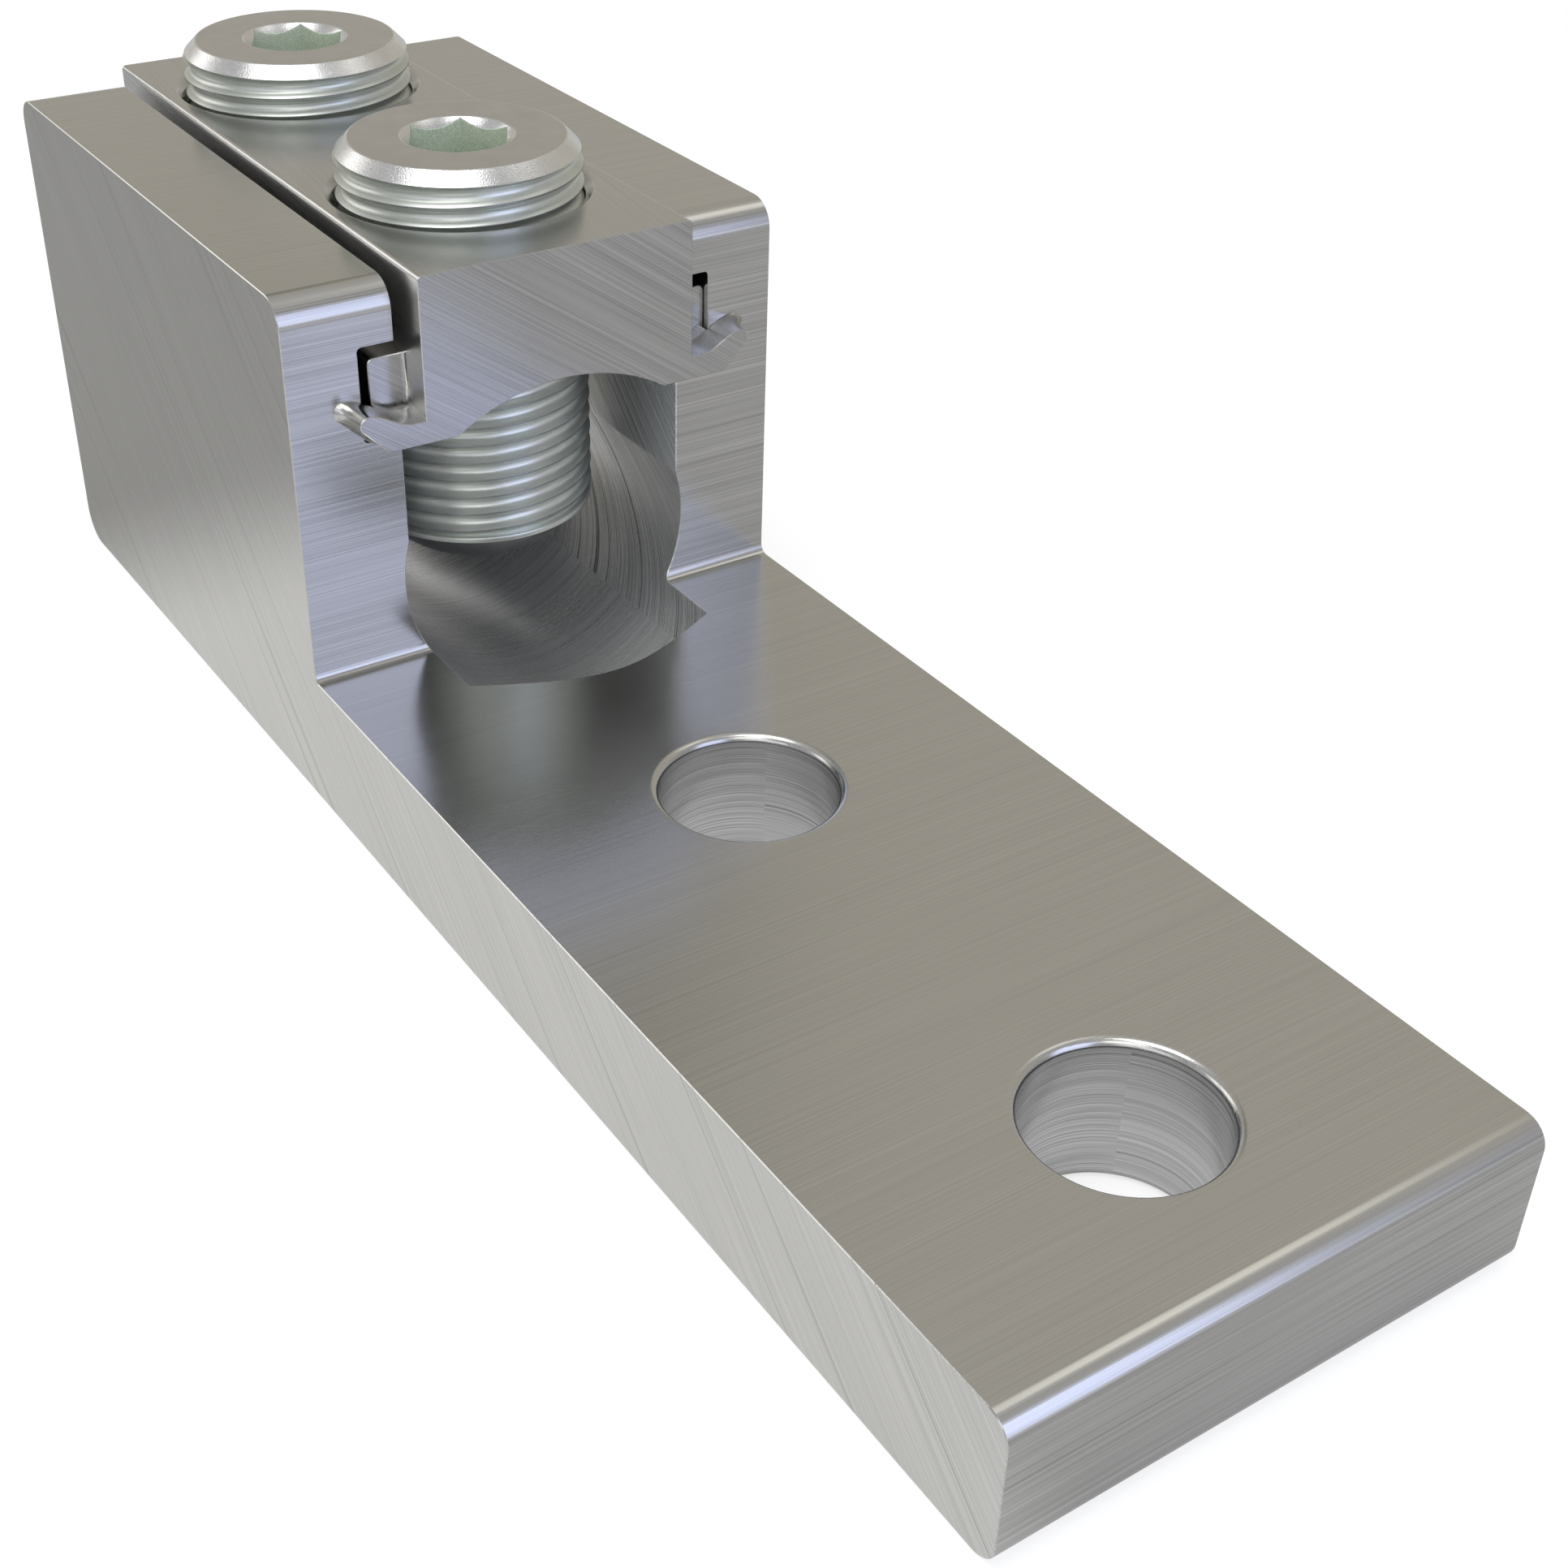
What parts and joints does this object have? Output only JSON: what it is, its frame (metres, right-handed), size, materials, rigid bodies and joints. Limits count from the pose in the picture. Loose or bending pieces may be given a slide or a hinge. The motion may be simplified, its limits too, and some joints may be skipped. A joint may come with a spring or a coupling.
{
  "type": "terminal lug",
  "caption": "Mechanical terminal lug with a flat bolt-down tongue, a round conductor channel in a block, a sliding clamp cap and hex-socket set screws.",
  "frame": {"origin": "middle between the two bolt holes, on the mounting face", "axes": "+X along the length towards the tongue end, +Z out of the tongue's top face, +Y to the side the cap is pushed to"},
  "size_m": [0.1533, 0.045, 0.0514],
  "materials": {
    "lug_body": "brushed tin-plated aluminium",
    "clamp_cap": "brushed tin-plated aluminium",
    "set_screw": "finely grained plated aluminium"
  },
  "bodies": {
    "lug": {"lug_body": "lug_body", "clamp_cap": "clamp_cap"},
    "front_screw": {"front_set_screw": "set_screw"},
    "rear_screw": {"rear_set_screw": "set_screw"}
  },
  "joints": [
    {"name": "front_screw_travel", "type": "slide", "parent": "lug", "child": "front_screw", "axis": [0, 0, 1], "range_m": [-0.0065, 0.022]},
    {"name": "rear_screw_travel", "type": "slide", "parent": "lug", "child": "rear_screw", "axis": [0, 0, 1], "range_m": [-0.0065, 0.022]}
  ]
}
